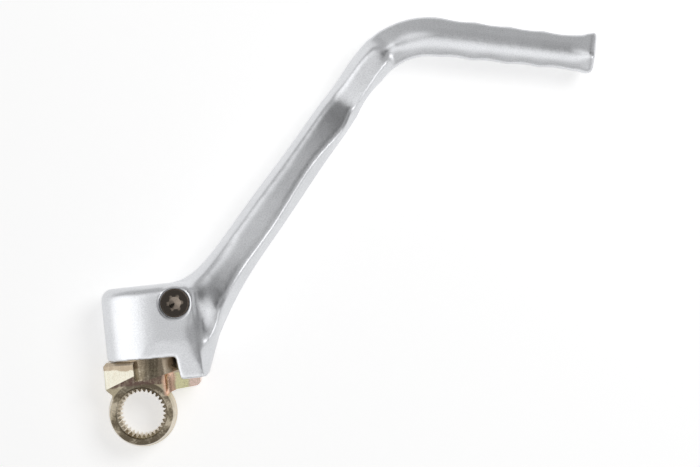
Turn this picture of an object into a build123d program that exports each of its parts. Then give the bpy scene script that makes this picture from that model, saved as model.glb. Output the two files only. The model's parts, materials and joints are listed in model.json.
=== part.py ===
"""Folding kick start lever of a motorcycle: a forged lever that swings out on a splined steel knuckle.

Millimetres. The origin is the centre of the splined bore at the knuckle's inner face. Z runs out along
the kick shaft, away from the engine. X and Y lie in the plane of the folded lever, which rests on Z = 0.
"""

from build123d import *

import os
from math import acos, cos, degrees, pi, radians, sin, sqrt, tan
from typing import NamedTuple

# Swivel axis, square to the kick shaft. Levels are measured along it from the kick shaft's axis,
# and distances across from it towards the arm.
SWIVEL_OFFSET = 5.5  # from the kick shaft's axis
SWIVEL_LEAN = 6.0  # degrees from +Y towards -X
SWIVEL_HEIGHT = 17.0  # over the resting plane
SWING = 74.0  # degrees from folded to ready

# Splined ring of the knuckle
RING_DEPTH = 17.0
RING_FACE_RADIUS = 14.4
RING_WAIST_RADIUS = 15.9
SPLINE_TEETH = 32
SPLINE_TIP_RADIUS = 9.8
SPLINE_DEPTH = 1.4
SPLINE_TIP_LAND = 0.4
SPLINE_ROOT_LAND = 0.35
SPLINE_LEAD = 0.7

# Swivel post
POST_RADIUS = 13.5
POST_CLEARANCE = 0.05
POST_TOP_GAP = 0.5
POST_CHAMFER = 1.2
POST_FOOT_LOW = 15.6  # level of its front edge at the middle
POST_FOOT_HIGH = 18.4  # level of its front edge at the arm's side

# Stop collar under the lever's head
COLLAR_SEAT_GAP = 0.3
COLLAR_BASE = 12.0
COLLAR_REACH = 20.5
COLLAR_BEVEL = 40.0  # degrees that the front bevel turns away from the front
COLLAR_BACK_BEVEL = 6.0
COLLAR_ROUND = 2.0
COLLAR_CHAMFER = 1.5
COLLAR_SLANT_LOW = 12.4
COLLAR_SLANT_HIGH = 18.2
STOP_RADIUS = 16.8
STOP_MARGIN = 1.5  # degrees left between lug and stop at the end of the swing

# Neck and rear stop ear
NECK_HALF = 9.0
NECK_EDGE = 6.8  # across, of its front face
NECK_FOOT = 7.5  # level where its hollow flank ends
NECK_NOTCH = 2.5
EAR_REACH = 22.6
EAR_LOW = 9.0
EAR_RISE = 1.0
EAR_HIGH = 18.5
EAR_BACK = 1.5
EAR_GAP = 0.3
EAR_ROUND = 2.5

# Head of the lever
HEAD_BOTTOM = 25.0
HEAD_TOP = 58.0
HEAD_ROOF = 3.0
HEAD_REACH = 18.4  # behind the swivel axis
HEAD_CROWN = 5.6  # across, where the rounded crown runs into the flat
HEAD_FLAT = 24.5
HEAD_SIDE = 29.2
HEAD_CORNER = 5.5
HEAD_SIDE_ROUND = 12.0
HEAD_TOP_ROUND = 5.0
HEAD_SLANT = 6.0  # degrees that the front leans back over the stop lug
HEAD_SLANT_LEVEL = 33.0

# Stop lug under the head
LUG_GAP = 0.5
LUG_SLANT = 1.2
LUG_BOTTOM = 14.4
LUG_BACK = 4.0  # behind the swivel axis
LUG_TOE = 27.0
LUG_FLANK = 33.5  # across, of the flank's foot beside the swivel axis
LUG_SHOULDER = 31.5
LUG_SHOULDER_DROP = 5.5  # of the shoulder's slope, from the front to the flank's foot
LUG_ROUND = 1.2

# Arm, from its root in the head to the corner of the bend
ARM_ROOT_ACROSS = 21.4
ARM_ROOT_LEVEL = 39.9
ARM_HEADING = 55.0  # degrees from +X
ARM_LENGTH = 161.2
ROOT_TURN = -27.0  # degrees that the root's section turns towards the head
FLARE_PLACE = 11.8
FLARE_TURN = -14.0
NECK_PLACE = 24.8
SHANK_PLACE = 38.8
MIDDLE_PLACE = 67.8
UPPER_PLACE = 98.9
JOGGLE_BACK = 39.3  # from the corner of the bend
RAMP_BACK = 29.7
VALLEY_HALF = 2.5  # half the length of the rounded valley at the joggle
BEND_RADIUS = 34.0
ISLAND_END = 0.22  # shares of the bend
RIDGE_START = 0.34
RIDGE_RISE = 0.6
PEG_START = 0.8
EDGE_ROUND = 2.3

# Scoop in the arm's root, beside the head
SCOOP_ACROSS = 26.8
SCOOP_LEVEL = 40.0
SCOOP_FLOOR = 28.7  # over the resting plane
SCOOP_RADIUS = 20.0

# Foot peg
PEG_HEADING = -6.6  # degrees from +X
PEG_LENGTH = 92.6  # from the corner of the bend
PEG_HEIGHT = 15.5
PEG_DEPTH = 17.0
PEG_ROOT_WIDTH = 17.8
PEG_TIP_WIDTH = 16.3
PEG_TREAD = 7.0
PEG_RIDGE = 1.6
PEG_RIDGE_SHIFT = -0.6
LIP_LENGTH = 8.5
LIP_RISE = 2.8
LIP_DROP = 0.6
LIP_CURVE = ((1.0, 0.0), (0.75, 0.08), (0.55, 0.6), (0.4, 0.95))  # shares of its length and of its rise
LIP_END_ROUND = 2.6
LIP_END_TURNS = (0, 40, 70, 90)  # degrees round the end
SCALLOP_COUNT = 4
SCALLOP_PITCH = 15.5
SCALLOP_DEPTH = 0.7
SCALLOP_END = 8.5

# Retaining screw, running across the post in its groove
SCREW_ACROSS = 16.1
SCREW_LEVEL = 49.0
SCREW_RADIUS = 4.0
SCREW_LENGTH = 24.0
SCREW_CHAMFER = 0.6
SCREW_CLEARANCE = 0.2
SCREW_HEAD_RADIUS = 6.5
SCREW_HEAD_HEIGHT = 4.6
COUNTERBORE_RADIUS = 7.0
COUNTERBORE_CHAMFER = 0.7
COUNTERBORE_TAPER = 45.0  # degrees
COUNTERBORE_DEPTH = 5.2
GROOVE_CLEARANCE = 0.3
SOCKET_LOBES = 6
SOCKET_POINT_RADIUS = 3.97
SOCKET_WAIST_RADIUS = 2.82
SOCKET_LOBE_RADIUS = 0.9
SOCKET_DEPTH = 2.8
SOCKET_CONE = 0.8

# Detent ball and spring in the post
DETENT_LEVEL = 36.0
DETENT_RADIUS = 3.5
DETENT_CLEARANCE = 0.1
DETENT_INSET = 0.3
DETENT_TRAVEL = 0.8
DETENT_SEAT_GAP = 0.3
DETENT_GROOVE_EXTRA = 4.0
DETENT_HOLE_BOTTOM = 6.5
SPRING_WIRE = 0.8
SPRING_RADIUS = 2.6
SPRING_TURNS = 5
SPRING_GAP = 0.05

# Sizes that follow from those above
head_depth = 2 * SWIVEL_HEIGHT
bore_radius = POST_RADIUS + POST_CLEARANCE
bore_end = HEAD_TOP - HEAD_ROOF
post_top = bore_end - POST_TOP_GAP
collar_top = HEAD_BOTTOM - COLLAR_SEAT_GAP
lug_inner = POST_RADIUS + LUG_GAP
lug_back = SWIVEL_HEIGHT - LUG_BACK
ear_front = lug_back - EAR_GAP
neck_sweep = SWIVEL_HEIGHT - ear_front
neck_top = POST_FOOT_LOW + (POST_FOOT_HIGH - POST_FOOT_LOW) * NECK_EDGE / POST_RADIUS
stop_angle = SWING + STOP_MARGIN + degrees(acos(lug_inner / STOP_RADIUS))
spline_half_gap = pi * SPLINE_TIP_RADIUS / SPLINE_TEETH - SPLINE_TIP_LAND / 2
lead_radius = SPLINE_TIP_RADIUS + SPLINE_DEPTH + SPLINE_LEAD
detent_out = DETENT_HOLE_BOTTOM + POST_RADIUS - DETENT_INSET - DETENT_RADIUS
detent_groove_radius = DETENT_RADIUS + DETENT_SEAT_GAP
detent_groove_centre = POST_RADIUS - DETENT_INSET - DETENT_RADIUS + DETENT_TRAVEL
detent_groove_end = DETENT_LEVEL + DETENT_GROOVE_EXTRA

# Planes and points of the swivel
lean = radians(SWIVEL_LEAN)
across = Vector(cos(lean), sin(lean), 0)
along = Vector(-sin(lean), cos(lean), 0)
swivel_foot = across * SWIVEL_OFFSET
swivel_centre = swivel_foot + Vector(0, 0, SWIVEL_HEIGHT)
swivel_axis = Axis(swivel_centre, along)
back_plane = Plane(swivel_foot, x_dir=across, z_dir=(0, 0, 1))
swivel_plane = back_plane.offset(SWIVEL_HEIGHT)
head_face = back_plane.offset(head_depth)
screw_seat = head_face.offset(-COUNTERBORE_DEPTH)
detent_plane = Plane(
    swivel_centre + along * DETENT_LEVEL + across * DETENT_HOLE_BOTTOM, x_dir=along, z_dir=-across
)


def level(height):
    """Plane square to the post at a level along it, x towards the arm and y away from the engine."""
    return Plane(swivel_centre + along * height, x_dir=across, z_dir=-along)


def polar(radius, angle):
    """Point at a radius and an angle in degrees."""
    return (radius * cos(radians(angle)), radius * sin(radians(angle)))


def heading_vector(heading):
    """Unit vector along a heading in degrees."""
    return Vector(cos(radians(heading)), sin(radians(heading)), 0)


# Stop collar: a bevelled block half around the post, open where the lug swings past
stop_x, stop_y = polar(STOP_RADIUS, stop_angle)
bevel_drop = (COLLAR_REACH + stop_x) * tan(radians(COLLAR_BEVEL))

with BuildPart() as collar:
    with BuildSketch(level(collar_top)) as collar_plan:
        Polygon(
            (stop_x, stop_y),
            (-COLLAR_REACH, stop_y - bevel_drop),
            (-COLLAR_REACH, COLLAR_BACK_BEVEL - SWIVEL_HEIGHT),
            (COLLAR_BACK_BEVEL - COLLAR_REACH, -SWIVEL_HEIGHT),
            (NECK_HALF, -SWIVEL_HEIGHT),
            (NECK_HALF, ear_front - SWIVEL_HEIGHT),
            (0, 0),
            align=None,
        )
        fillet(collar_plan.vertices().group_by(Axis.X)[0], COLLAR_ROUND)
    extrude(amount=collar_top - COLLAR_BASE)
    rim = collar.faces().sort_by(swivel_axis)[-1].edges()
    chamfer(
        rim.filter_by(lambda edge: swivel_plane.to_local_coords(edge.center()).X < stop_x),
        COLLAR_CHAMFER,
    )

# Knuckle: splined ring, neck, rear ear, collar and post in one forging
with BuildPart() as pivot_knuckle:
    with BuildSketch(Plane.XZ):
        Polygon(
            (0, 0),
            (RING_FACE_RADIUS, 0),
            (RING_WAIST_RADIUS, RING_DEPTH / 2),
            (RING_FACE_RADIUS, RING_DEPTH),
            (0, RING_DEPTH),
            align=None,
        )
    revolve(axis=Axis.Z)
    with BuildSketch(back_plane):
        Polygon(
            (NECK_NOTCH - COLLAR_REACH, 0),
            (NECK_NOTCH - COLLAR_REACH, COLLAR_BASE - NECK_NOTCH),
            (-COLLAR_REACH, COLLAR_BASE),
            (-COLLAR_REACH, EAR_HIGH),
            (NECK_EDGE + neck_sweep, EAR_HIGH),
            (NECK_EDGE + neck_sweep, EAR_LOW),
            (NECK_EDGE, NECK_FOOT),
            (0, 0),
            align=None,
        )
    extrude(amount=RING_DEPTH)
    with BuildSketch(back_plane.offset(EAR_BACK)) as ear:
        Polygon(
            (0, 0),
            (NECK_HALF, EAR_LOW),
            (EAR_REACH, EAR_LOW + EAR_RISE),
            (EAR_REACH, EAR_HIGH),
            (0, EAR_HIGH),
            align=None,
        )
        fillet(ear.vertices().group_by(Axis.X)[-1], EAR_ROUND)
    extrude(amount=ear_front - EAR_BACK)
    add(collar.part)
    with BuildSketch(level(post_top)):
        Circle(POST_RADIUS)
    extrude(amount=post_top - COLLAR_BASE)
    chamfer(pivot_knuckle.faces().sort_by(swivel_axis)[-1].edges(), POST_CHAMFER)
    with BuildSketch(back_plane.offset(RING_DEPTH)):
        Polygon(
            (-2 * COLLAR_REACH, 0),
            (-COLLAR_REACH, COLLAR_SLANT_LOW),
            (stop_x, COLLAR_SLANT_HIGH),
            (stop_x, POST_FOOT_LOW),
            (0, POST_FOOT_LOW),
            (POST_RADIUS, POST_FOOT_HIGH),
            (2 * COLLAR_REACH, POST_FOOT_HIGH),
            (2 * COLLAR_REACH, 0),
            align=None,
        )
    extrude(amount=head_depth, mode=Mode.SUBTRACT)
    with BuildSketch(level(neck_top)):
        with Locations((NECK_EDGE + neck_sweep, 0)):
            Circle(neck_sweep)
            Rectangle(2 * COLLAR_REACH, neck_sweep, align=(Align.MIN, Align.MAX))
            Rectangle(2 * COLLAR_REACH, neck_sweep, align=(Align.CENTER, Align.MIN), mode=Mode.SUBTRACT)
    extrude(amount=neck_top - NECK_FOOT, mode=Mode.SUBTRACT)
    with BuildSketch(Plane.XY):
        Circle(SPLINE_TIP_RADIUS)
        with PolarLocations(SPLINE_TIP_RADIUS, SPLINE_TEETH):
            Polygon(
                (-SPLINE_DEPTH, -spline_half_gap),
                (0, -spline_half_gap),
                (SPLINE_DEPTH, -SPLINE_ROOT_LAND / 2),
                (SPLINE_DEPTH, SPLINE_ROOT_LAND / 2),
                (0, spline_half_gap),
                (-SPLINE_DEPTH, spline_half_gap),
                align=None,
            )
    extrude(amount=RING_DEPTH, mode=Mode.SUBTRACT)
    with BuildSketch(Plane.XZ):
        Polygon((0, RING_DEPTH), (lead_radius, RING_DEPTH), (0, RING_DEPTH - lead_radius), align=None)
        Polygon((0, 0), (lead_radius, 0), (0, lead_radius), align=None)
    revolve(axis=Axis.Z, mode=Mode.SUBTRACT)
    with BuildSketch(swivel_plane):
        with Locations((SCREW_ACROSS, SCREW_LEVEL)):
            Circle(SCREW_RADIUS + GROOVE_CLEARANCE)
    revolve(axis=swivel_axis, mode=Mode.SUBTRACT)
    with BuildSketch(detent_plane):
        Circle(DETENT_RADIUS + DETENT_CLEARANCE)
    extrude(amount=DETENT_HOLE_BOTTOM + POST_RADIUS, mode=Mode.SUBTRACT)

# Head of the lever: crowned behind the post, drafted towards the arm
with BuildPart() as head:
    with BuildSketch(level(HEAD_TOP)) as head_plan:
        with BuildLine():
            EllipticalCenterArc(
                (HEAD_CROWN, 0), HEAD_CROWN + HEAD_REACH, SWIVEL_HEIGHT, start_angle=90, arc_size=180
            )
            Polyline(
                (HEAD_CROWN, -SWIVEL_HEIGHT),
                (HEAD_FLAT, -SWIVEL_HEIGHT),
                (HEAD_SIDE, 0),
                (HEAD_FLAT, SWIVEL_HEIGHT),
                (HEAD_CROWN, SWIVEL_HEIGHT),
            )
        make_face()
        corners = head_plan.vertices().group_by(Axis.X)
        fillet(corners[-1], HEAD_SIDE_ROUND)
        fillet(corners[-2], HEAD_CORNER)
    extrude(amount=HEAD_TOP - HEAD_BOTTOM)
    fillet(head.faces().sort_by(swivel_axis)[-1].edges(), HEAD_TOP_ROUND)

# Stop lug: the front of the head carried down past the collar, with a flank up to the arm's root
with BuildPart() as lug:
    with BuildSketch(level(LUG_SHOULDER)) as lug_plan:
        Polygon(
            (lug_inner, -LUG_BACK),
            (LUG_FLANK, -LUG_BACK),
            (LUG_FLANK, 0),
            (HEAD_FLAT, SWIVEL_HEIGHT),
            (lug_inner, SWIVEL_HEIGHT),
            align=None,
        )
        fillet(lug_plan.vertices().group_by(Axis.Y)[-1].sort_by(Axis.X)[-1], LUG_ROUND)
    extrude(amount=LUG_SHOULDER - LUG_BOTTOM)
    with BuildSketch(back_plane.offset(lug_back)):
        Polygon(
            (lug_inner, LUG_SHOULDER),
            (lug_inner, HEAD_BOTTOM - LUG_ROUND),
            (lug_inner + LUG_SLANT, LUG_BOTTOM),
            (LUG_TOE, LUG_BOTTOM),
            (LUG_FLANK, LUG_SHOULDER),
            align=None,
        )
    extrude(amount=head_depth, mode=Mode.INTERSECT)
    fillet(lug.faces().sort_by(swivel_axis)[0].edges(), LUG_ROUND)


class Section(NamedTuple):
    """Eight-sided cross-section of the arm: x to the outside of the bend, y away from the engine."""

    height: float  # of its centre over the resting plane
    width: float
    depth: float
    flat: float  # width of the front and back flats
    land: float  # depth of the two sides
    shift: float = 0.0  # of the front and back flats towards +x
    rise: float = 0.0  # extra width at the +x side
    drop: float = 0.0  # extra width at the -x side
    rounding: float = EDGE_ROUND  # radius of its corners

    def corners(self):
        """Corner points, counterclockwise."""
        outer = self.width / 2 + self.rise
        inner = -self.width / 2 - self.drop
        face = self.depth / 2
        half_land = self.land / 2
        high = self.shift + self.flat / 2
        low = self.shift - self.flat / 2
        return (
            (outer, -half_land),
            (outer, half_land),
            (high, face),
            (low, face),
            (inner, half_land),
            (inner, -half_land),
            (low, -face),
            (high, -face),
        )


arm_root = swivel_foot + across * ARM_ROOT_ACROSS + along * ARM_ROOT_LEVEL
corner = arm_root + heading_vector(ARM_HEADING) * ARM_LENGTH
bend_turn = ARM_HEADING - PEG_HEADING
bend_tangent = BEND_RADIUS * tan(radians(bend_turn / 2))
bend_start = corner - heading_vector(ARM_HEADING) * bend_tangent
bend_centre = bend_start - heading_vector(ARM_HEADING + 90) * BEND_RADIUS


def station(place, heading, section):
    """A section with its plane, square to the path."""
    centre = Vector(place.X, place.Y, section.height)
    return Plane(centre, x_dir=heading_vector(heading + 90), z_dir=heading_vector(heading)), section


def on_arm(place, section, turn=0.0):
    """Station on the straight arm, at a distance from its root."""
    return station(arm_root + heading_vector(ARM_HEADING) * place, ARM_HEADING + turn, section)


def on_bend(part_way, section):
    """Station on the bend, part of the way from the arm to the peg."""
    heading = ARM_HEADING - bend_turn * part_way
    return station(bend_centre + heading_vector(heading + 90) * BEND_RADIUS, heading, section)


def on_peg(inset, section):
    """Station on the foot peg, at a distance in from its end."""
    return station(corner + heading_vector(PEG_HEADING) * (PEG_LENGTH - inset), PEG_HEADING, section)


def lofted(run):
    """Solid through the stations of a run."""
    with BuildPart() as stretch:
        for plane, section in run:
            with BuildSketch(plane) as outline:
                Polygon(*section.corners(), align=None)
                fillet(outline.vertices(), section.rounding)
        loft()
    return stretch.part.solid()


# Sections of the arm and the peg, from the head outwards
root = Section(height=SWIVEL_HEIGHT, width=39.0, depth=31.0, flat=30.0, land=6.0, shift=-2.0, rounding=3.4)
flare = Section(height=SWIVEL_HEIGHT, width=27.2, depth=28.0, flat=19.0, land=5.0, shift=-1.0, rounding=3.2)
neck = Section(height=17.2, width=21.4, depth=22.5, flat=13.5, land=4.0, rounding=3.0)
shank = Section(height=17.5, width=19.6, depth=19.0, flat=12.5, land=3.5, rounding=2.6)
middle = Section(height=16.8, width=18.9, depth=18.0, flat=12.0, land=3.0)
upper = Section(height=14.0, width=17.6, depth=17.4, flat=11.5, land=3.0)
valley_foot = Section(height=10.4, width=17.1, depth=17.0, flat=11.1, land=3.0)
joggle = Section(height=10.1, width=17.0, depth=17.0, flat=11.0, land=3.0)
valley_end = Section(height=10.4, width=16.9, depth=17.0, flat=10.8, land=3.0, shift=-0.2)
ramp = Section(height=11.6, width=16.9, depth=17.0, flat=10.0, land=3.0, shift=PEG_RIDGE_SHIFT)
bend_root = Section(height=12.8, width=17.2, depth=17.0, flat=9.5, land=3.5, shift=PEG_RIDGE_SHIFT)
flat_end = Section(height=13.6, width=17.6, depth=17.0, flat=8.6, land=4.5, shift=PEG_RIDGE_SHIFT)
ridge_start = Section(height=13.6, width=17.8, depth=15.8, flat=1.8, land=6.0, shift=PEG_RIDGE_SHIFT)
peg_root = Section(PEG_HEIGHT, PEG_ROOT_WIDTH, PEG_DEPTH, PEG_RIDGE, PEG_TREAD, PEG_RIDGE_SHIFT)
ridge_rise = peg_root._replace(height=14.9)
peg_tip = peg_root._replace(width=PEG_TIP_WIDTH)

lower_arm = (
    on_arm(0, root, ROOT_TURN),
    on_arm(FLARE_PLACE, flare, FLARE_TURN),
    on_arm(NECK_PLACE, neck),
    on_arm(SHANK_PLACE, shank),
    on_arm(MIDDLE_PLACE, middle),
    on_arm(UPPER_PLACE, upper),
    on_arm(ARM_LENGTH - JOGGLE_BACK - VALLEY_HALF, valley_foot),
)
valley = (
    on_arm(ARM_LENGTH - JOGGLE_BACK - VALLEY_HALF, valley_foot),
    on_arm(ARM_LENGTH - JOGGLE_BACK, joggle),
    on_arm(ARM_LENGTH - JOGGLE_BACK + VALLEY_HALF, valley_end),
)
upper_arm = (
    on_arm(ARM_LENGTH - JOGGLE_BACK + VALLEY_HALF, valley_end),
    on_arm(ARM_LENGTH - RAMP_BACK, ramp),
    on_bend(0, bend_root),
    on_bend(ISLAND_END, flat_end),
)
island_tip = (on_bend(ISLAND_END, flat_end), on_bend(RIDGE_START, ridge_start))
bend = (
    on_bend(RIDGE_START, ridge_start),
    on_bend(RIDGE_RISE, ridge_rise),
    on_bend(PEG_START, peg_root),
    on_bend(1, peg_root),
)
peg = (on_bend(1, peg_root), on_peg(LIP_LENGTH, peg_tip))
lip = [
    on_peg(share * LIP_LENGTH, peg_tip._replace(rise=raised * LIP_RISE, drop=raised * LIP_DROP))
    for share, raised in LIP_CURVE
]
for turn in LIP_END_TURNS:
    shrink = LIP_END_ROUND * (1 - cos(radians(turn)))
    end = peg_tip._replace(depth=PEG_DEPTH - 2 * shrink, rise=LIP_RISE - shrink, drop=LIP_DROP - shrink)
    lip.append(on_peg(LIP_END_ROUND * (1 - sin(radians(turn))), end))

# Arm: its runs joined end to end, with the scoop beside the head
scoop_centre = swivel_foot + across * SCOOP_ACROSS + along * SCOOP_LEVEL
foot = lofted(lower_arm)
with BuildPart() as arm_foot:
    add(foot)
    with Locations(scoop_centre + Vector(0, 0, SCOOP_FLOOR + SCOOP_RADIUS)):
        Sphere(SCOOP_RADIUS, mode=Mode.SUBTRACT)
arm = arm_foot.part.solid().fuse(
    *[lofted(run) for run in (valley, upper_arm, island_tip, bend, peg, lip)], glue=True
)

# Forged lever in one piece, with its bores and the scallops of the peg
shoulder_slope = along * LUG_SHOULDER_DROP + Vector(0, 0, SWIVEL_HEIGHT)
shoulder_plane = Plane(
    swivel_centre + along * (LUG_SHOULDER - LUG_SHOULDER_DROP),
    x_dir=across,
    z_dir=across.cross(shoulder_slope),
)
side_plane = Plane(swivel_foot, x_dir=along, z_dir=across)
slant_drop = HEAD_SLANT_LEVEL * tan(radians(HEAD_SLANT))
peg_plane = Plane(corner + Vector(0, 0, PEG_HEIGHT), x_dir=heading_vector(PEG_HEADING), z_dir=(0, 0, 1))
peg_taper = (PEG_ROOT_WIDTH - PEG_TIP_WIDTH) / 2 / (PEG_LENGTH - LIP_LENGTH - bend_tangent)
scallop_radius = (SCALLOP_PITCH**2 / 4 + SCALLOP_DEPTH**2) / (2 * SCALLOP_DEPTH)

with BuildPart() as kick_lever:
    add(head.part)
    add(arm)
    with BuildSketch(shoulder_plane):
        Polygon(
            (HEAD_FLAT, shoulder_slope.length),
            (LUG_FLANK, 0),
            (2 * LUG_FLANK, 0),
            (2 * LUG_FLANK, shoulder_slope.length),
            align=None,
        )
    extrude(amount=LUG_SHOULDER, dir=-along, mode=Mode.SUBTRACT)
    add(lug.part)
    with BuildSketch(side_plane):
        Polygon((0, head_depth), (0, head_depth - slant_drop), (HEAD_SLANT_LEVEL, head_depth), align=None)
    extrude(amount=LUG_FLANK, both=True, mode=Mode.SUBTRACT)
    with BuildSketch(level(bore_end)):
        Circle(bore_radius)
    extrude(amount=bore_end - HEAD_BOTTOM, mode=Mode.SUBTRACT)
    with BuildSketch(level(detent_groove_end)):
        for turn in (0, SWING):
            with Locations(polar(detent_groove_centre, 180 - turn)):
                Circle(detent_groove_radius)
    extrude(amount=detent_groove_end - HEAD_BOTTOM, mode=Mode.SUBTRACT)
    with BuildSketch(screw_seat):
        with Locations((SCREW_ACROSS, SCREW_LEVEL)):
            Circle(COUNTERBORE_RADIUS)
    extrude(amount=COUNTERBORE_DEPTH, mode=Mode.SUBTRACT)
    with BuildSketch(head_face):
        with Locations((SCREW_ACROSS, SCREW_LEVEL)):
            Circle(COUNTERBORE_RADIUS + COUNTERBORE_CHAMFER)
    extrude(amount=-COUNTERBORE_CHAMFER, taper=COUNTERBORE_TAPER, mode=Mode.SUBTRACT)
    with BuildSketch(back_plane):
        with Locations((SCREW_ACROSS, SCREW_LEVEL)):
            Circle(SCREW_RADIUS + SCREW_CLEARANCE)
    extrude(amount=head_depth, mode=Mode.SUBTRACT)
    with BuildSketch(peg_plane):
        for number in range(SCALLOP_COUNT):
            inset = SCALLOP_END + (number + 0.5) * SCALLOP_PITCH
            half_width = PEG_TIP_WIDTH / 2 + peg_taper * (inset - LIP_LENGTH)
            for side in (1, -1):
                with Locations((PEG_LENGTH - inset, side * (half_width - SCALLOP_DEPTH + scallop_radius))):
                    Circle(scallop_radius)
    extrude(amount=PEG_DEPTH, both=True, mode=Mode.SUBTRACT)

# Retaining screw: low six-lobe head, shank across the post's groove
with BuildPart() as retaining_screw:
    with BuildSketch(screw_seat):
        with Locations((SCREW_ACROSS, SCREW_LEVEL)):
            Circle(SCREW_HEAD_RADIUS)
    extrude(amount=SCREW_HEAD_HEIGHT)
    with BuildSketch(screw_seat):
        with Locations((SCREW_ACROSS, SCREW_LEVEL)):
            Circle(SCREW_RADIUS)
    extrude(amount=-SCREW_LENGTH)
    ends = retaining_screw.faces().filter_by(Axis.Z).sort_by(Axis.Z)
    chamfer(ends[0].edges() + ends[-1].edges(), SCREW_CHAMFER)
    with BuildSketch(screw_seat.offset(SCREW_HEAD_HEIGHT)):
        with Locations((SCREW_ACROSS, SCREW_LEVEL)):
            Circle(SOCKET_WAIST_RADIUS)
            with PolarLocations(SOCKET_POINT_RADIUS - SOCKET_LOBE_RADIUS, SOCKET_LOBES):
                Circle(SOCKET_LOBE_RADIUS)
    extrude(amount=-SOCKET_DEPTH, mode=Mode.SUBTRACT)
    with Locations(screw_seat.offset(SCREW_HEAD_HEIGHT - SOCKET_DEPTH)):
        with Locations((SCREW_ACROSS, SCREW_LEVEL)):
            Cone(
                0,
                SOCKET_WAIST_RADIUS,
                SOCKET_CONE,
                align=(Align.CENTER, Align.CENTER, Align.MAX),
                mode=Mode.SUBTRACT,
            )

# Detent ball, drawn pressed in so that it clears the bore
with BuildPart(detent_plane.offset(detent_out)) as detent_ball:
    Sphere(DETENT_RADIUS)

# Detent spring, from the hole's bottom to the ball
ball_reach = sqrt((DETENT_RADIUS + SPRING_WIRE / 2) ** 2 - SPRING_RADIUS**2)
coil_length = detent_out - ball_reach - SPRING_GAP - SPRING_WIRE / 2

with BuildPart() as detent_spring:
    with BuildLine():
        coil = Helix(
            pitch=coil_length / SPRING_TURNS,
            height=coil_length,
            radius=SPRING_RADIUS,
            center=detent_plane.offset(SPRING_WIRE / 2).origin,
            direction=detent_plane.z_dir,
        )
    with BuildSketch(Plane(coil @ 0, z_dir=coil % 0)):
        Circle(SPRING_WIRE / 2)
    sweep()

os.makedirs("parts", exist_ok=True)
pieces = {
    "kick_lever": kick_lever,
    "pivot_knuckle": pivot_knuckle,
    "retaining_screw": retaining_screw,
    "detent_ball": detent_ball,
    "detent_spring": detent_spring,
}
for name, piece in pieces.items():
    piece.part.label = name
    export_step(piece.part, f"parts/{name}.step")
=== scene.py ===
"""Looks of a folding kick start lever: blasted alloy, yellow zinc, a dark screw and a white studio floor."""

import json
from math import cos, radians, sin, tau
from typing import NamedTuple

import bmesh
import bpy
from bpy.props import FloatProperty, FloatVectorProperty, IntProperty, PointerProperty
from mathutils import Matrix, Vector


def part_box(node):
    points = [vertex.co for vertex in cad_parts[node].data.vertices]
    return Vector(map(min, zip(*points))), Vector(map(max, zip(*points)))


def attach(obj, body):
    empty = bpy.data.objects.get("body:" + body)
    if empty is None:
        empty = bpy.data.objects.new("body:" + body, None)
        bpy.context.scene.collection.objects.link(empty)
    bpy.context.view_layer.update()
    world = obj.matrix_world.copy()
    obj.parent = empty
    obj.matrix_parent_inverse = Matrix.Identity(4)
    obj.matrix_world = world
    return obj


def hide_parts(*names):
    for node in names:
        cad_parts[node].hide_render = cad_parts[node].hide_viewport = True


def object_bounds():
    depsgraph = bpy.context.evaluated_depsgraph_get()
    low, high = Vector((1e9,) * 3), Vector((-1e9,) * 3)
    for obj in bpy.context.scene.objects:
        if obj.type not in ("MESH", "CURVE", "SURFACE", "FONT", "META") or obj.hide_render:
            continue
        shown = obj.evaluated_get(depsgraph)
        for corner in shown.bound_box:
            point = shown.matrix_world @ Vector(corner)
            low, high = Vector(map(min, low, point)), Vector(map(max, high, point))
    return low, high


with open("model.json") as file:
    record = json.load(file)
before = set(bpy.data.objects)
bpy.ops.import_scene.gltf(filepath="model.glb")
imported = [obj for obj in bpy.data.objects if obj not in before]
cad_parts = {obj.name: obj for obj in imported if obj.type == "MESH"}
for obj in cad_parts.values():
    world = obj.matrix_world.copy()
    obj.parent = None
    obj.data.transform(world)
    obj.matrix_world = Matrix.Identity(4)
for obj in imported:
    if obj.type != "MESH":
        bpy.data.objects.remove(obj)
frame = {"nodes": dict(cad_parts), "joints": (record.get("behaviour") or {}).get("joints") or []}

bl_info = {
    "name": "Kick Start Lever Looks",
    "version": (1, 0, 0),
    "blender": (4, 5, 0),
    "location": "View3D > Sidebar > Kick Lever",
    "description": "Finishes of a folding kick start lever and the studio it is shown in",
    "category": "Object",
}

CAD_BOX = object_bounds()
MM = 0.001
UP = Vector((0, 0, 1))

# Making of the lever's skin
MERGE_DISTANCE = 0.001 * MM
ROUND_STEPS = 96  # sides of the screw's seat
SMOOTHING_STEP = 0.5  # share of the way to its neighbours' middle that a point goes in one pass
SHARP_ANGLE = radians(40)

# Places of the part's middle plane, the bore, the screw, the lever and the swivel
middle_height = (CAD_BOX[0][2] + CAD_BOX[1][2]) / 2
bore_axis = (0.0, 0.0)
screw_low, screw_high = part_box("retaining_screw")
screw_centre = (screw_low + screw_high) / 2
lever_low, lever_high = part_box("kick_lever")
swivel = next(joint for joint in frame["joints"] if joint["name"] == "lever_swivel")
swivel_centre = Vector(swivel["pos_m"])
along = -Vector(swivel["axis"])
across = along.cross(UP)


def beside_swivel(distance, level, height):
    """Point at a distance across from the swivel, a level along it and a height over the floor, in mm."""
    foot = Vector((swivel_centre.x, swivel_centre.y, 0))
    return foot + (across * distance + along * level + UP * height) * MM


def on_arm(x, y, z):
    """Point of the arm or the peg, in mm from the frame's origin."""
    return Vector((x, y, z)) * MM


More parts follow.
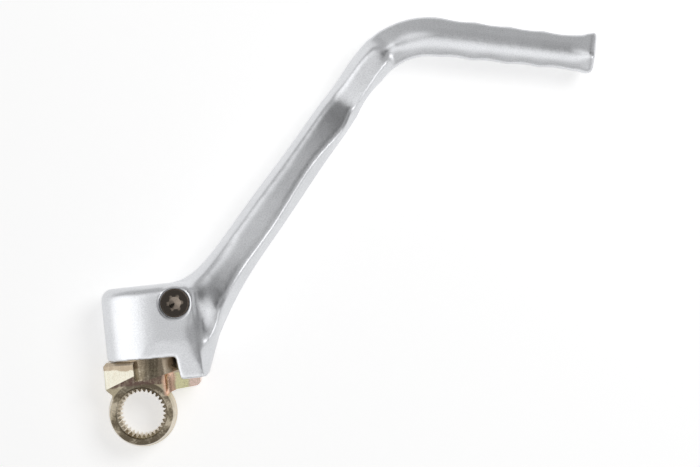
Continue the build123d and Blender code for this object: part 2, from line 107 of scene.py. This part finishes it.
class Run(NamedTuple):
    """A stretch of the forging, with a reach round its line and an amount that fades out there."""

    start: Vector
    end: Vector
    reach: float
    amount: float

    def at(self, place):
        """The amount at a place, whole on the line and none beyond the reach."""
        line = self.end - self.start
        along_line = (place - self.start).dot(line) / line.length_squared
        foot = self.start + line * min(1.0, max(0.0, along_line))
        nearness = max(0.0, 1 - (place - foot).length / self.reach)
        return self.amount * nearness * (2 - nearness)


# Passes of smoothing where the forging flows most softly
SOFT_RUNS = (
    # Valley between head and arm, and its way down to the lug's shoulder
    Run(beside_swivel(25, 47, 32), beside_swivel(26, 36, 32), reach=15 * MM, amount=130),
    Run(beside_swivel(27, 35, 31), beside_swivel(29, 29, 28), reach=8 * MM, amount=50),
    # Root of the arm
    Run(on_arm(32, 67, 29), on_arm(36, 72, 27), reach=13 * MM, amount=40),
    # Left and right edges of the arm's flat
    Run(on_arm(36, 72, 26), on_arm(66, 114, 24), reach=5 * MM, amount=12),
    Run(on_arm(47, 64, 27), on_arm(88, 129, 21), reach=4 * MM, amount=8),
    # Joggle, and the tip of the raised island
    Run(on_arm(89, 143, 20), on_arm(91, 145, 20), reach=10 * MM, amount=15),
    Run(on_arm(112, 165, 22), on_arm(118, 169, 22), reach=9 * MM, amount=34),
    # Ridge of the peg
    Run(on_arm(122, 171, 24), on_arm(196, 164, 24), reach=8 * MM, amount=220),
)
# Rise of the arm's root beside the hollow
SWELLS = (Run(beside_swivel(32, 44, 29), beside_swivel(33, 36, 29), reach=8 * MM, amount=1.4 * MM),)


def colour(name, description, default):
    """A colour that a user can set."""
    return FloatVectorProperty(
        name=name, description=description, default=default, size=3, subtype="COLOR", min=0.0, max=1.0
    )


def length(name, description, default):
    """A length in metres that a user can set."""
    return FloatProperty(
        name=name, description=description, default=default, subtype="DISTANCE", unit="LENGTH", precision=5
    )


def share(name, description, default):
    """A share from nothing to all that a user can set."""
    return FloatProperty(
        name=name, description=description, default=default, subtype="FACTOR", min=0.0, max=1.0
    )


def brightness(name, description, default):
    """A strength of light that a user can set."""
    return FloatProperty(name=name, description=description, default=default, subtype="UNSIGNED", min=0.0)


class LeverSettings(bpy.types.PropertyGroup):
    """Form of the forged lever's skin."""

    cell: length("Cell", "Size of one cell of the fine skin", 0.0006)
    passes: IntProperty(
        name="Edge passes",
        description="Smoothing passes on the forged edges",
        default=8,
        subtype="UNSIGNED",
        min=0,
    )
    hole_radius: length("Hole", "Radius of the hole for the screw's shank", 0.0043)
    seat_radius: length("Seat", "Radius of the counterbore for the screw's head", 0.0071)
    seat_depth: length("Seat depth", "Depth of the counterbore", 0.00525)
    chamfer: length("Chamfer", "Width of the counterbore's chamfer", 0.0008)
    chamfer_drop: length("Chamfer drop", "Depth of the counterbore's chamfer", 0.0005)
    seat_reach: length("Seat reach", "Distance from the seat where the soft runs are whole", 0.004)
    bore_reach: length("Bore reach", "Radius round the swivel that stays unsmoothed", 0.0142)


class AlloySettings(bpy.types.PropertyGroup):
    """Finish of the forged lever."""

    light: colour("Light grains", "Colour of the bright grains left by blasting", (0.78, 0.79, 0.81))
    dark: colour("Dark grains", "Colour of the dull grains left by blasting", (0.66, 0.67, 0.69))
    grain: length("Grain", "Size of one blasted grain", 0.0005)
    roughness: share("Roughness", "Mean roughness of the blasted skin", 0.32)


class PlatingSettings(bpy.types.PropertyGroup):
    """Finish of the splined knuckle."""

    gold: colour("Gold", "Main colour of the plating and of the spline's teeth", (0.66, 0.58, 0.45))
    dull: colour("Dull gold", "Darker clouds in the main colour", (0.50, 0.43, 0.30))
    # Painted highlight over a pale cast: the collar's bevel, which faces the soft box, gets this paler copy
    # of the plating
    cream: colour("Cream", "Pale cast of the collar's bevel", (0.76, 0.74, 0.63))
    tan: colour("Tan", "Brown cast of the collar's top and the post", (0.42, 0.34, 0.25))
    # Painted dark reflection over a dark olive cast: the ring's face and the front of the post are darkened
    # where they mirror the dark room overhead
    shade: colour("Shade", "Dark olive of the ring's face and the collar's middle", (0.16, 0.13, 0.09))
    # Painted shadow of the collar on the ring's face, in a red-brown cast
    rust: colour("Rust", "Red-brown of the hollow between ring and collar", (0.16, 0.10, 0.085))
    copper: colour("Copper", "Orange cast in the hollow of the neck", (0.95, 0.60, 0.44))
    olive: colour("Olive", "Green cast of the ear", (0.78, 0.76, 0.44))
    rose: colour("Rose", "Pink cast of the ear's tip", (0.90, 0.68, 0.60))
    cast_size: length("Cast size", "Width of one cloud of colour", 0.006)
    roughness: share("Roughness", "Mean roughness of the plating", 0.24)


class SteelSettings(bpy.types.PropertyGroup):
    """Finishes of the screw, the ball and the spring."""

    oxide: colour("Dark oxide", "Colour of the screw", (0.055, 0.047, 0.04))
    # Rubbed oxide and painted highlight: the rim and the socket are painted bronze where their chamfers and
    # walls catch the light
    wear_and_highlight: colour("Worn edge", "Colour where the oxide is rubbed thin", (0.48, 0.40, 0.33))
    oxide_roughness: share("Oxide roughness", "Mean roughness of the screw", 0.3)
    ball: colour("Ball", "Colour of the polished ball", (0.70, 0.70, 0.72))
    ball_roughness: share("Ball roughness", "Least roughness of the ball", 0.12)
    wire: colour("Wire", "Colour of the drawn spring wire", (0.42, 0.42, 0.43))
    wire_roughness: share("Wire roughness", "Least roughness of the spring wire", 0.3)


class StageSettings(bpy.types.PropertyGroup):
    """Floor, room, lamp and camera."""

    centre_x: length("Centre X", "Middle of the picture", 0.0953)
    centre_y: length("Centre Y", "Middle of the picture", 0.0823)
    plane: length("Middle plane", "Height of the lever's middle plane over the floor", middle_height)
    distance: length("Distance", "Camera height over the lever's middle plane", 1.0)
    frame_width: length("Frame width", "Width of the picture at the lever's middle plane", 0.32)
    sensor_width: FloatProperty(
        name="Sensor width", description="Width of the camera's sensor in mm", default=36.0, unit="CAMERA"
    )
    sight: length("Sight", "Greatest distance that the camera sees", 10.0)
    floor_size: length("Floor size", "Side of the square floor", 4.0)
    paper: colour("Paper", "Colour of the floor", (0.8, 0.8, 0.8))
    floor_glow: share("Floor glow", "Light of the floor as the camera sees it", 0.6)
    room_light: brightness("Room light", "Light of the room that metal mirrors", 0.54)
    fill_light: brightness("Fill light", "Light that falls on the floor", 0.25)
    lamp_power: FloatProperty(name="Lamp power", description="Power of the lamp", default=3.0, unit="POWER")
    lamp_size: length("Lamp size", "Side of the square lamp", 0.45)
    lamp_place: FloatVectorProperty(
        name="Lamp place",
        description="Way from the middle of the picture to the lamp",
        default=(0.45, 0.35, 0.8),
        subtype="XYZ",
        unit="LENGTH",
    )


class Shade:
    """A shader socket that takes part in sums by adding nodes to its tree."""

    def __init__(self, tree, socket=None):
        self.tree = tree
        self.socket = socket

    def node(self, kind, inputs=None, settings=None, output=0):
        """Adds a node, with its settings first and then the values or links of its sockets."""
        made = self.tree.nodes.new(f"ShaderNode{kind}")
        for name, setting in (settings or {}).items():
            setattr(made, name, setting)
        for name, value in (inputs or {}).items():
            if isinstance(value, Shade):
                self.tree.links.new(value.socket, made.inputs[name])
            else:
                made.inputs[name].default_value = value
        return Shade(self.tree, made.outputs[output] if made.outputs else None)

    def maths(self, operation, first, second=0.0):
        """One step of arithmetic."""
        return self.node("Math", {0: first, 1: second}, {"operation": operation})

    def __add__(self, other):
        return self.maths("ADD", self, other)

    __radd__ = __add__

    def __sub__(self, other):
        return self.maths("SUBTRACT", self, other)

    def __rsub__(self, other):
        return self.maths("SUBTRACT", other, self)

    def __mul__(self, other):
        return self.maths("MULTIPLY", self, other)

    __rmul__ = __mul__

    def __truediv__(self, other):
        return self.maths("DIVIDE", self, other)

    def root(self):
        """Square root."""
        return self.maths("SQRT", self)

    def most(self, other):
        """The greater of two values."""
        return self.maths("MAXIMUM", self, other)

    def step(self, low, high):
        """Rises smoothly from 0 at low to 1 at high."""
        ends = {"From Min": low, "From Max": high, "To Min": 0.0, "To Max": 1.0}
        return self.node("MapRange", {"Value": self, **ends}, {"interpolation_type": "SMOOTHSTEP"})

    def within(self, ends, soft=0.3):
        """1 between two ends in mm and 0 outside them, with edges that are soft by some mm."""
        low, high = ends
        above = self.step((low - soft) * MM, (low + soft) * MM)
        return above - above * self.step((high - soft) * MM, (high + soft) * MM)

    def mix(self, none, full):
        """A colour between two colours, by this value."""
        # The node's colour sockets share their names with its other sockets, so they go by number
        sides = {6: none, 7: full}
        sides = {key: side if isinstance(side, Shade) else (*side, 1.0) for key, side in sides.items()}
        return self.node("Mix", {0: self, **sides}, {"data_type": "RGBA"}, output=2)

    def ray(self, kind):
        """1 for rays of a kind and 0 for others."""
        return self.node("LightPath", output=f"Is {kind} Ray")


NOISE_MEAN = 0.5


class Finish:
    """A new material with its coordinates and its surface shader."""

    def __init__(self, name):
        self.material = bpy.data.materials.new(name)
        self.material.use_nodes = True
        tree = self.material.node_tree
        self.surface = tree.nodes["Principled BSDF"]
        self.sheet = Shade(tree)
        self.place = self.sheet.node("TexCoord", output="Object")
        self.x, self.y, self.z = (
            self.sheet.node("SeparateXYZ", {"Vector": self.place}, output=axis) for axis in "XYZ"
        )

    def noise(self, size, detail=2.0, stretch=None):
        """Noise with features of a size in metres."""
        place = self.place
        if stretch is not None:
            place = self.sheet.node("Mapping", {"Vector": place, "Scale": stretch})
        return self.sheet.node("TexNoise", {"Vector": place, "Scale": 1 / size, "Detail": detail})

    def distance(self, centre_x, centre_y):
        """Distance from an axis that runs along Z."""
        off_x = self.x - centre_x
        off_y = self.y - centre_y
        return (off_x * off_x + off_y * off_y).root()

    def beside_swivel(self):
        """Distance across from the swivel and level along it."""
        off_x = self.x - swivel_centre.x
        off_y = self.y - swivel_centre.y
        return off_x * across.x + off_y * across.y, off_x * along.x + off_y * along.y

    def feed(self, **sockets):
        """Sets or links sockets of the surface shader, written with underscores for spaces."""
        for name, value in sockets.items():
            socket = self.surface.inputs[name.replace("_", " ").title()]
            if isinstance(value, Shade):
                self.sheet.tree.links.new(value.socket, socket)
            else:
                socket.default_value = (*value, 1.0) if isinstance(value, tuple) else value

    def coat(self, tint, roughness, noise, swing):
        """Makes the surface metal of a tint, with a roughness that a noise swings round its mean."""
        self.feed(base_color=tint, metallic=1.0, roughness=roughness + (noise - NOISE_MEAN) * swing)

    def bump(self, height, distance, strength):
        """Feeds a height to the surface's normal."""
        normal = self.sheet.node("Bump", {"Height": height, "Distance": distance, "Strength": strength})
        self.feed(normal=normal)

    def dress(self, piece):
        """Puts the material on a piece."""
        slots = piece.data.materials
        slots.clear()
        slots.append(self.material)


def hold(name, shape):
    """Puts a bmesh into a new object of the scene."""
    mesh = bpy.data.meshes.new(name)
    shape.to_mesh(mesh)
    shape.free()
    holder = bpy.data.objects.new(name, mesh)
    bpy.context.scene.collection.objects.link(holder)
    return holder


def settle(holder):
    """Makes an object's modifiers a part of its mesh."""
    graph = bpy.context.evaluated_depsgraph_get()
    mesh = bpy.data.meshes.new_from_object(holder.evaluated_get(graph))
    holder.modifiers.clear()
    holder.data = mesh


class KICKLEVER_OT_lever(bpy.types.Operator):
    """Makes the forged lever with soft edges and a clean seat for its screw"""

    bl_idname = "kicklever.lever"
    bl_label = "Forged Lever"

    def execute(self, context):
        settings = context.scene.kicklever_lever
        shape = bmesh.new()
        shape.from_mesh(frame["nodes"]["kick_lever"].data)
        bmesh.ops.remove_doubles(shape, verts=shape.verts, dist=MERGE_DISTANCE)
        self.plug_seat(shape, settings)
        lever = hold("forged_lever", shape)
        fine = lever.modifiers.new("fine_skin", "REMESH")
        fine.mode = "VOXEL"
        fine.voxel_size = settings.cell
        settle(lever)
        self.form(lever.data, settings)
        cutter = self.add_cutter(settings)
        cut = lever.modifiers.new("screw_seat", "BOOLEAN")
        cut.object = cutter
        settle(lever)
        bpy.data.objects.remove(cutter)
        lever.data.shade_smooth()
        lever.data.set_sharp_from_angle(angle=SHARP_ANGLE)
        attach(lever, "lever")
        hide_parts("kick_lever")
        return {"FINISHED"}

    def plug_seat(self, shape, settings):
        """Fills the screw's seat, so that it can be cut cleanly into the softened skin."""
        depth = settings.seat_depth + settings.chamfer
        bmesh.ops.create_cone(
            shape,
            cap_ends=True,
            segments=ROUND_STEPS,
            radius1=settings.seat_radius + settings.chamfer,
            radius2=settings.seat_radius + settings.chamfer,
            depth=depth,
            matrix=Matrix.Translation((screw_centre.x, screw_centre.y, lever_high.z - depth / 2)),
        )

    def form(self, mesh, settings):
        """Raises the swells and rounds the forged edges, most on the soft runs and not at all in the bore."""
        shape = bmesh.new()
        shape.from_mesh(mesh)
        passes = {vert: self.count_passes(vert.co, settings) for vert in shape.verts}
        for vert in shape.verts:
            vert.co.z += sum(swell.at(vert.co) for swell in SWELLS)
        for number in range(max(passes.values())):
            bmesh.ops.smooth_vert(
                shape,
                verts=[vert for vert, count in passes.items() if count > number],
                factor=SMOOTHING_STEP,
                use_axis_x=True,
                use_axis_y=True,
                use_axis_z=True,
            )
        shape.to_mesh(mesh)
        shape.free()

    @staticmethod
    def count_passes(place, settings):
        """Number of smoothing passes at a point of the lever."""
        off_swivel = (place - swivel_centre).cross(along).length
        if off_swivel < settings.bore_reach:
            return 0
        off_seat = (place - screw_centre).to_2d().length - settings.seat_radius - settings.chamfer
        clear = min(1.0, max(0.0, off_seat / settings.seat_reach))
        return settings.passes + round(clear * sum(run.at(place) for run in SOFT_RUNS))

    def add_cutter(self, settings):
        """Solid of revolution that cuts the screw's hole, its seat and the chamfer."""
        top = lever_high.z
        seat = top - settings.seat_depth
        below = lever_low.z - settings.chamfer
        profile = (
            (0, below),
            (settings.hole_radius, below),
            (settings.hole_radius, seat),
            (settings.seat_radius, seat),
            (settings.seat_radius, top - settings.chamfer_drop),
            (settings.seat_radius + 2 * settings.chamfer, top + settings.chamfer_drop),
            (0, top + settings.chamfer_drop),
        )
        shape = bmesh.new()
        points = [shape.verts.new((screw_centre.x + out, screw_centre.y, height)) for out, height in profile]
        edges = [shape.edges.new(pair) for pair in zip(points, points[1:])]
        bmesh.ops.spin(
            shape,
            geom=points + edges,
            cent=screw_centre,
            axis=UP,
            angle=tau,
            steps=ROUND_STEPS,
            use_merge=True,
        )
        bmesh.ops.remove_doubles(shape, verts=shape.verts, dist=MERGE_DISTANCE)
        bmesh.ops.recalc_face_normals(shape, faces=shape.faces)
        return hold("screw_cutter", shape)


# Speckle of the alloy: shares of its grains and clouds, grains to a cloud, and where dark turns to light
GRAIN_SHARE = 0.8
CLOUD_SHARE = 0.2
CLOUD_GRAINS = 25
SPECKLE_BAND = (0.36, 0.64)


class KICKLEVER_OT_alloy(bpy.types.Operator):
    """Gives the forged lever its blasted alloy skin"""

    bl_idname = "kicklever.alloy"
    bl_label = "Blasted Alloy"

    def execute(self, context):
        settings = context.scene.kicklever_alloy
        skin = Finish("blasted_alloy")
        grain = skin.noise(settings.grain, detail=3.0)
        cloud = skin.noise(CLOUD_GRAINS * settings.grain)
        speckle = (grain * GRAIN_SHARE + cloud * CLOUD_SHARE).step(*SPECKLE_BAND)
        tint = speckle.mix(tuple(settings.dark), tuple(settings.light))
        skin.coat(tint, settings.roughness, grain, swing=0.2)
        skin.bump(grain, distance=0.05 * MM, strength=0.45)
        skin.dress(bpy.data.objects["forged_lever"])
        return {"FINISHED"}


class Patch(NamedTuple):
    """A stretch of the knuckle with a cast of its own, in some stretches with painted shade and highlight, in
    mm beside the swivel and over the floor.
    """

    cast: str
    distance: tuple[float, float]
    level: tuple[float, float]
    height: tuple[float, float]


PATCHES = (
    Patch("tan", distance=(-30, 30), level=(21, 30), height=(17, 40)),
    Patch("tan", distance=(5, 30), level=(15, 30), height=(17.2, 40)),
    # Painted highlight: a paler copy of the plating on the collar's bevel, which faces the soft box
    Patch("cream", distance=(-30, -5), level=(10, 21), height=(17.2, 40)),
    # Painted dark reflection on the front of the post, where it mirrors the dark room overhead, over the
    # plating's dark olive cast
    Patch("shade", distance=(-3.6, 5.6), level=(15, 30), height=(17.2, 40)),
    # Painted shadow that the collar casts on the ring's face, in a red-brown cast
    Patch("rust", distance=(-18, 6), level=(13, 17), height=(16.4, 17.4)),
    Patch("copper", distance=(6, 10.8), level=(7, 17.6), height=(12, 17.4)),
    Patch("olive", distance=(10.8, 17.6), level=(7, 20), height=(-1, 13)),
    Patch("rose", distance=(17.6, 30), level=(7, 20), height=(-1, 13)),
)
PATCH_SWAY = 3 * MM  # way that a patch's edges shift from the clouds' least value to their greatest
PATCH_BLUR = 0.9  # mm to either side of a patch's edges
PATCH_COVER = 0.5  # least share of a cast in its patch
STREAK_COVER = 0.25  # share that streaks add, and grains too
STREAK_SIZE = MM
STREAK_STRETCH = (2.5, 0.12, 0.5)
STREAK_BAND = (0.35, 0.6)
PLATING_GRAIN = 0.8 * MM
DULL_BAND = (0.4, 0.65)

# Ring: its front face, and where the spline's teeth end, in mm from the bore's axis and over the floor
RING_FACE = (11.4, 14.6)
RING_HEIGHT = (16.4, 17.4)
TEETH_END = (11.3, 11.6)
# Dark cast of the ring, partly painted dark reflection: shares of clouds, grains and the parts above and
# below the bore, and where it begins
DARK_CLOUD = 0.6
DARK_GRAIN = 0.4
DARK_REFLECTION_ENDS = 0.16
DARK_BAND = (0.42, 0.66)


class KICKLEVER_OT_plating(bpy.types.Operator):
    """Gives the knuckle its yellow zinc plating"""

    bl_idname = "kicklever.plating"
    bl_label = "Splined Knuckle"

    def execute(self, context):
        settings = context.scene.kicklever_plating
        plating = Finish("yellow_zinc")
        cloud = plating.noise(settings.cast_size, detail=4.0)
        grain = plating.noise(PLATING_GRAIN, detail=4.0)
        off_axis = plating.distance(*bore_axis)
        tint = cloud.step(*DULL_BAND).mix(tuple(settings.gold), tuple(settings.dull))
        tint = self.darken_ring(plating, off_axis, cloud, grain).mix(tint, tuple(settings.shade))
        tint = self.add_patches(plating, settings, tint, cloud, grain)
        teeth = 1 - off_axis.step(*(end * MM for end in TEETH_END))
        tint = teeth.mix(tint, tuple(settings.gold))
        plating.coat(tint, settings.roughness, grain, swing=0.25)
        plating.bump(grain, distance=0.06 * MM, strength=0.5)
        plating.dress(frame["nodes"]["pivot_knuckle"])
        return {"FINISHED"}

    @staticmethod
    def darken_ring(plating, off_axis, cloud, grain):
        """Share of the dark olive cast and painted dark reflection on the ring's front face."""
        face = off_axis.within(RING_FACE) * plating.z.within(RING_HEIGHT)
        # Painted reflection: as on a turned face, the ring is painted darker above and below the bore than
        # beside it
        above_or_below = plating.y * plating.y / (off_axis * off_axis)
        dark = cloud * DARK_CLOUD + grain * DARK_GRAIN + above_or_below * DARK_REFLECTION_ENDS
        return face * dark.step(*DARK_BAND)

    @staticmethod
    def add_patches(plating, settings, tint, cloud, grain):
        """Lays the casts of the collar, the neck and the ear, among them painted shade and highlight, over a
        tint.
        """
        distance, level = plating.beside_swivel()
        sway = (cloud - NOISE_MEAN) * PATCH_SWAY
        distance = distance + sway
        level = level + sway
        streaks = plating.noise(STREAK_SIZE, detail=3.0, stretch=STREAK_STRETCH).step(*STREAK_BAND)
        cover = PATCH_COVER + streaks * STREAK_COVER + grain.step(*STREAK_BAND) * STREAK_COVER
        for patch in PATCHES:
            inside = distance.within(patch.distance, PATCH_BLUR) * level.within(patch.level)
            inside = inside * plating.z.within(patch.height)
            tint = (inside * cover).mix(tint, tuple(getattr(settings, patch.cast)))
        return tint


# Screw: its rim and its socket, rubbed bronze and painted as a highlight, in mm from its axis and under the
# top of its head
RIM_EDGES = (6.0, 7.0)
RIM_DROP = (1.2, 0.6)
SOCKET_EDGE = (3.8, 4.0)
SOCKET_DROP = (0.5, 0.0)
OXIDE_GRAIN = 0.5 * MM
# The socket's wear and painted highlight as a share of the rim's, the least of them, what grains add, and the
# socket's loss of roughness
SOCKET_WEAR_AND_HIGHLIGHT = 0.6
LEAST_WEAR_AND_HIGHLIGHT = 0.3
GRAIN_WEAR_AND_HIGHLIGHT = 0.7
SOCKET_GLOSS = 0.12


class KICKLEVER_OT_screw(bpy.types.Operator):
    """Gives the retaining screw its dark oxide skin"""

    bl_idname = "kicklever.screw"
    bl_label = "Retaining Screw"

    def execute(self, context):
        settings = context.scene.kicklever_steel
        oxide = Finish("dark_oxide")
        grain = oxide.noise(OXIDE_GRAIN, detail=3.0)
        off_axis = oxide.distance(screw_centre.x, screw_centre.y)
        rim = off_axis.within(RIM_EDGES) * self.above(oxide, RIM_DROP)
        socket = 1 - off_axis.step(*(edge * MM for edge in SOCKET_EDGE))
        recess = socket * (1 - self.above(oxide, SOCKET_DROP))
        # Rubbed bronze with a painted highlight on the rim's chamfer and the socket's walls
        wear_and_highlight = (rim + recess * SOCKET_WEAR_AND_HIGHLIGHT) * (LEAST_WEAR_AND_HIGHLIGHT + grain * GRAIN_WEAR_AND_HIGHLIGHT)
        tint = wear_and_highlight.mix(tuple(settings.oxide), tuple(settings.wear_and_highlight))
        oxide.coat(tint, settings.oxide_roughness - recess * SOCKET_GLOSS, grain, swing=0.2)
        oxide.bump(grain, distance=0.03 * MM, strength=0.4)
        oxide.dress(frame["nodes"]["retaining_screw"])
        return {"FINISHED"}

    @staticmethod
    def above(oxide, drops):
        """Rises from 0 to 1 between two drops in mm under the top of the screw's head."""
        return oxide.z.step(*(screw_high.z - drop * MM for drop in drops))


class KICKLEVER_OT_detent(bpy.types.Operator):
    """Gives the hidden ball and spring their steel"""

    bl_idname = "kicklever.detent"
    bl_label = "Detent Ball and Spring"

    def execute(self, context):
        settings = context.scene.kicklever_steel
        ball = Finish("polished_steel")
        self.coat(ball, settings.ball, settings.ball_roughness, cloud_size=2 * MM, rise=0.08)
        ball.dress(frame["nodes"]["detent_ball"])
        wire = Finish("drawn_wire")
        self.coat(wire, settings.wire, settings.wire_roughness, cloud_size=MM, rise=0.2)
        wire.dress(frame["nodes"]["detent_spring"])
        return {"FINISHED"}

    @staticmethod
    def coat(steel, tint, roughness, cloud_size, rise):
        """Makes a finish bare steel, with clouds that raise its least roughness."""
        cloudy = roughness + steel.noise(cloud_size) * rise
        steel.feed(base_color=tuple(tint), metallic=1.0, roughness=cloudy)


class SoftBox(NamedTuple):
    """A soft light of the room, or a dark screen where its light is negative, as the metal mirrors it."""

    azimuth: float  # degrees from +X
    tilt: float  # degrees from straight up
    inner: float  # degrees from its middle that it fills
    outer: float  # degrees from its middle where it fades out
    light: float

    def middle(self):
        """Direction to its middle."""
        flat = sin(radians(self.tilt))
        return (cos(radians(self.azimuth)) * flat, sin(radians(self.azimuth)) * flat, cos(radians(self.tilt)))


SOFT_BOXES = (
    SoftBox(azimuth=190, tilt=56, inner=14, outer=48, light=1.0),
    SoftBox(azimuth=270, tilt=38, inner=8, outer=34, light=0.65),
    SoftBox(azimuth=125, tilt=20, inner=4, outer=24, light=0.5),
    SoftBox(azimuth=326, tilt=64, inner=7, outer=17, light=1.8),
    SoftBox(azimuth=45, tilt=28, inner=9, outer=18, light=-0.5),
    SoftBox(azimuth=66, tilt=54, inner=3, outer=10, light=-0.4),
    SoftBox(azimuth=6, tilt=66, inner=10, outer=26, light=-0.26),
    SoftBox(azimuth=35, tilt=14, inner=6, outer=11, light=-0.45),
)
WHITE = (1.0, 1.0, 1.0, 1.0)


class KICKLEVER_OT_stage(bpy.types.Operator):
    """Adds the white floor, the room with its soft boxes, the lamp and the camera"""

    bl_idname = "kicklever.stage"
    bl_label = "Studio"

    def execute(self, context):
        settings = context.scene.kicklever_stage
        middle = Vector((settings.centre_x, settings.centre_y, settings.plane))
        self.add_floor(settings)
        self.add_room(context.scene, settings)
        self.add_lamp(context.scene, settings, middle)
        self.add_camera(context.scene, settings, middle)
        context.scene.view_settings.view_transform = "Standard"
        return {"FINISHED"}

    def add_floor(self, settings):
        """White floor that keeps the lever's shadow."""
        bpy.ops.mesh.primitive_plane_add(size=settings.floor_size)
        floor = bpy.context.object
        floor.name = "studio_floor"
        material = bpy.data.materials.new("white_paper")
        material.use_nodes = True
        material.node_tree.nodes.clear()
        sheet = Shade(material.node_tree)
        seen = sheet.ray("Camera").most(sheet.ray("Glossy")).most(sheet.ray("Transmission"))
        paper = sheet.node("BsdfDiffuse", {"Color": (*settings.paper, 1.0)})
        glow = sheet.node("Emission", {"Strength": seen * settings.floor_glow})
        both = sheet.node("AddShader", {0: paper, 1: glow})
        sheet.node("OutputMaterial", {"Surface": both})
        floor.data.materials.append(material)

    def add_room(self, scene, settings):
        """Room with its soft boxes, which looks white to the camera."""
        world = bpy.data.worlds.new("studio_room")
        world.use_nodes = True
        world.node_tree.nodes.clear()
        sheet = Shade(world.node_tree)
        towards = sheet.node("TexCoord", output="Generated")
        room = settings.room_light
        for box in SOFT_BOXES:
            near = sheet.node(
                "VectorMath", {0: towards, 1: box.middle()}, {"operation": "DOT_PRODUCT"}, output="Value"
            )
            room = near.step(cos(radians(box.outer)), cos(radians(box.inner))) * box.light + room
        seen = sheet.ray("Camera")
        mirrored = sheet.ray("Glossy")
        light = mirrored * room.most(0.0) + (1 - mirrored) * settings.fill_light
        glow = sheet.node("Background", {"Color": WHITE, "Strength": seen + (1 - seen) * light})
        sheet.node("OutputWorld", {"Surface": glow})
        scene.world = world

    def add_lamp(self, scene, settings, middle):
        """Soft square lamp that faces the middle of the picture and casts the shadow."""
        lamp = bpy.data.lights.new("shadow_lamp", "AREA")
        lamp.shape = "SQUARE"
        lamp.size = settings.lamp_size
        lamp.energy = settings.lamp_power
        holder = bpy.data.objects.new("shadow_lamp", lamp)
        way = Vector(settings.lamp_place)
        holder.location = middle + way
        holder.rotation_euler = (-way).to_track_quat("-Z", "Y").to_euler()
        holder.visible_glossy = False
        scene.collection.objects.link(holder)

    def add_camera(self, scene, settings, middle):
        """Camera that looks straight down at the lever."""
        lens = bpy.data.cameras.new("camera")
        lens.sensor_width = settings.sensor_width
        lens.lens = settings.sensor_width * settings.distance / settings.frame_width
        lens.clip_end = settings.sight
        camera = bpy.data.objects.new("camera", lens)
        camera.location = middle + UP * settings.distance
        scene.collection.objects.link(camera)
        scene.camera = camera


class KICKLEVER_PT_panel(bpy.types.Panel):
    """Lists the lever's finishes and the studio"""

    bl_idname = "KICKLEVER_PT_panel"
    bl_label = "Kick Start Lever"
    bl_space_type = "VIEW_3D"
    bl_region_type = "UI"
    bl_category = "Kick Lever"

    def draw(self, context):
        for group, (kind, *operators) in GROUPS.items():
            box = self.layout.box()
            for name in kind.__annotations__:
                box.prop(getattr(context.scene, group), name)
            for operator in operators:
                box.operator(operator.bl_idname)


# Each group of settings with the operators that use it
GROUPS = {
    "kicklever_lever": (LeverSettings, KICKLEVER_OT_lever),
    "kicklever_alloy": (AlloySettings, KICKLEVER_OT_alloy),
    "kicklever_plating": (PlatingSettings, KICKLEVER_OT_plating),
    "kicklever_steel": (SteelSettings, KICKLEVER_OT_screw, KICKLEVER_OT_detent),
    "kicklever_stage": (StageSettings, KICKLEVER_OT_stage),
}
CLASSES = [each for classes in GROUPS.values() for each in classes] + [KICKLEVER_PT_panel]


def register():
    """Adds the classes and their settings to Blender."""
    for each in CLASSES:
        bpy.utils.register_class(each)
    for group, (kind, *operators) in GROUPS.items():
        setattr(bpy.types.Scene, group, PointerProperty(type=kind))


def unregister():
    """Takes the settings and the classes out again."""
    for group in GROUPS:
        delattr(bpy.types.Scene, group)
    for each in reversed(CLASSES):
        bpy.utils.unregister_class(each)


def main():
    """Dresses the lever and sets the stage."""
    register()
    bpy.ops.kicklever.lever()
    bpy.ops.kicklever.alloy()
    bpy.ops.kicklever.plating()
    bpy.ops.kicklever.screw()
    bpy.ops.kicklever.detent()
    bpy.ops.kicklever.stage()


if __name__ == "__main__":
    main()
